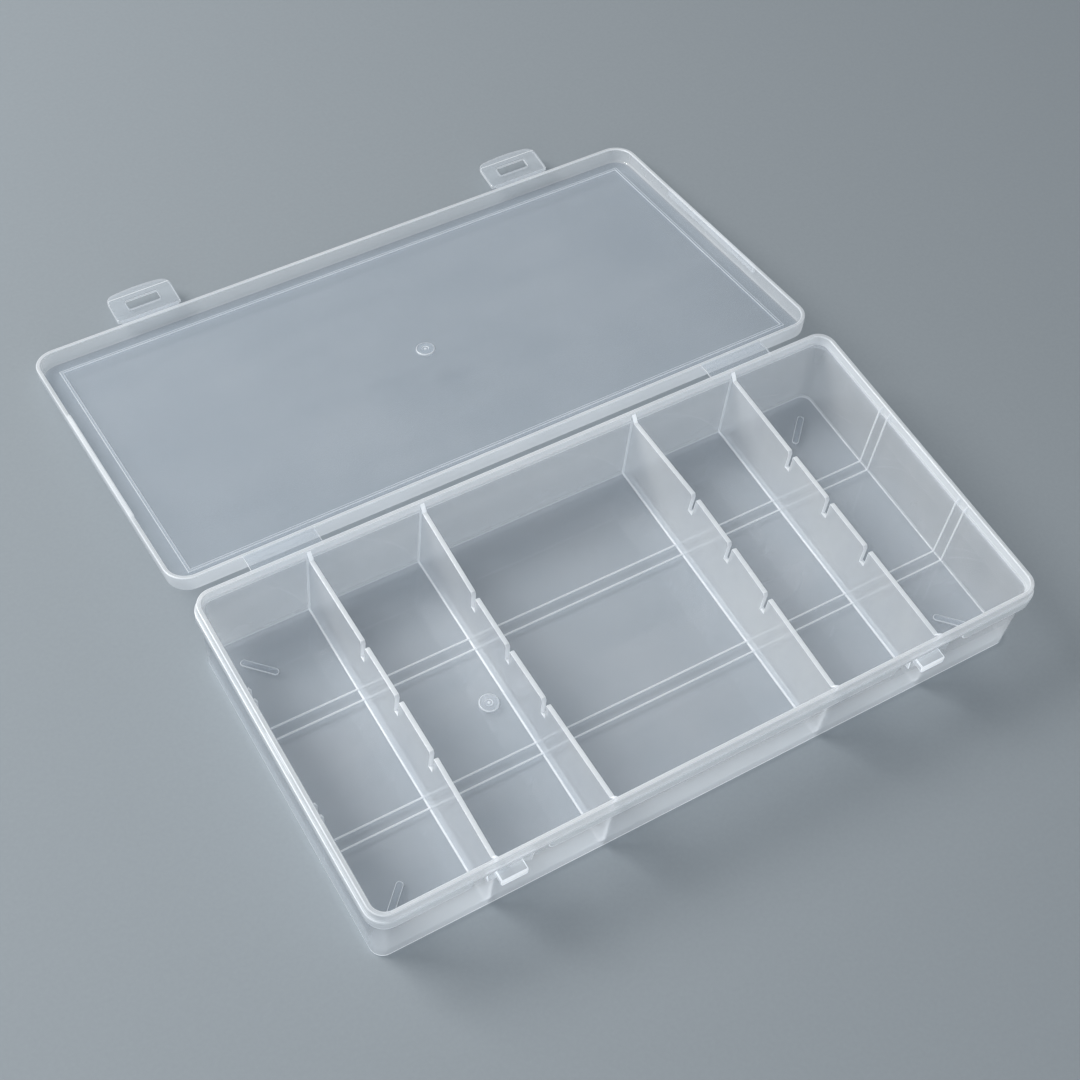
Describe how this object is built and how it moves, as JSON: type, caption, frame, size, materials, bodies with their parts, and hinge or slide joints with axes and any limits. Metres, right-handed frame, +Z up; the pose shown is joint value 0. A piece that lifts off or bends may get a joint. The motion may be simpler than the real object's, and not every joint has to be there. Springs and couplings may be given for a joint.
{
  "type": "embroidery thread box",
  "caption": "Shallow clear plastic sorting box with fixed notched dividers and a full-width lid on living hinges, held shut by two fold-down slotted latch tabs.",
  "frame": {"origin": "centre of the tray's flat underside, on the surface it stands on", "axes": "+X along the lid hinge to the right seen from the catch side, +Y from the catches towards the hinge and the open lid, +Z up"},
  "size_m": [0.2032, 0.2245, 0.0272],
  "materials": {
    "clear_polypropylene": "gloss",
    "lid_polypropylene": "gloss",
    "edge_polypropylene": "gloss"
  },
  "bodies": {
    "tray_body": {"tray": "clear_polypropylene", "divider_1": "clear_polypropylene", "divider_2": "clear_polypropylene", "divider_3": "clear_polypropylene", "divider_4": "clear_polypropylene", "guide_ridge_1": "clear_polypropylene", "guide_ridge_2": "clear_polypropylene", "guide_ridge_3": "clear_polypropylene", "guide_ridge_4": "clear_polypropylene", "pad_front_left": "clear_polypropylene", "pad_front_right": "clear_polypropylene", "pad_back_left": "clear_polypropylene", "pad_back_right": "clear_polypropylene", "gate_boss_tray": "clear_polypropylene", "snap_bead_left": "edge_polypropylene", "snap_bead_right": "edge_polypropylene", "catch_left": "edge_polypropylene", "catch_right": "edge_polypropylene", "hinge_left_tray_leaf": "edge_polypropylene", "hinge_right_tray_leaf": "edge_polypropylene"},
    "lid": {"lid_shell": "lid_polypropylene", "lid_seat_rib": "lid_polypropylene", "gate_boss_lid": "lid_polypropylene", "hinge_left_lid_leaf": "edge_polypropylene", "hinge_right_lid_leaf": "edge_polypropylene"},
    "latch_left": {"latch_left_tab": "edge_polypropylene", "latch_left_root": "edge_polypropylene"},
    "latch_right": {"latch_right_tab": "edge_polypropylene", "latch_right_root": "edge_polypropylene"}
  },
  "joints": [
    {"name": "lid_hinge", "type": "hinge", "parent": "tray_body", "child": "lid", "pos_m": [0, 0.0546, 0.02475], "axis": [1, 0, 0], "range_deg": [0, 190.52]},
    {"name": "latch_left_fold", "type": "hinge", "parent": "lid", "child": "latch_left", "pos_m": [-0.06345, 0.15995, 0.00463], "axis": [1, 0, 0], "range_deg": [-14, 76]},
    {"name": "latch_right_fold", "type": "hinge", "parent": "lid", "child": "latch_right", "pos_m": [0.06345, 0.15995, 0.00463], "axis": [1, 0, 0], "range_deg": [-14, 76]}
  ]
}
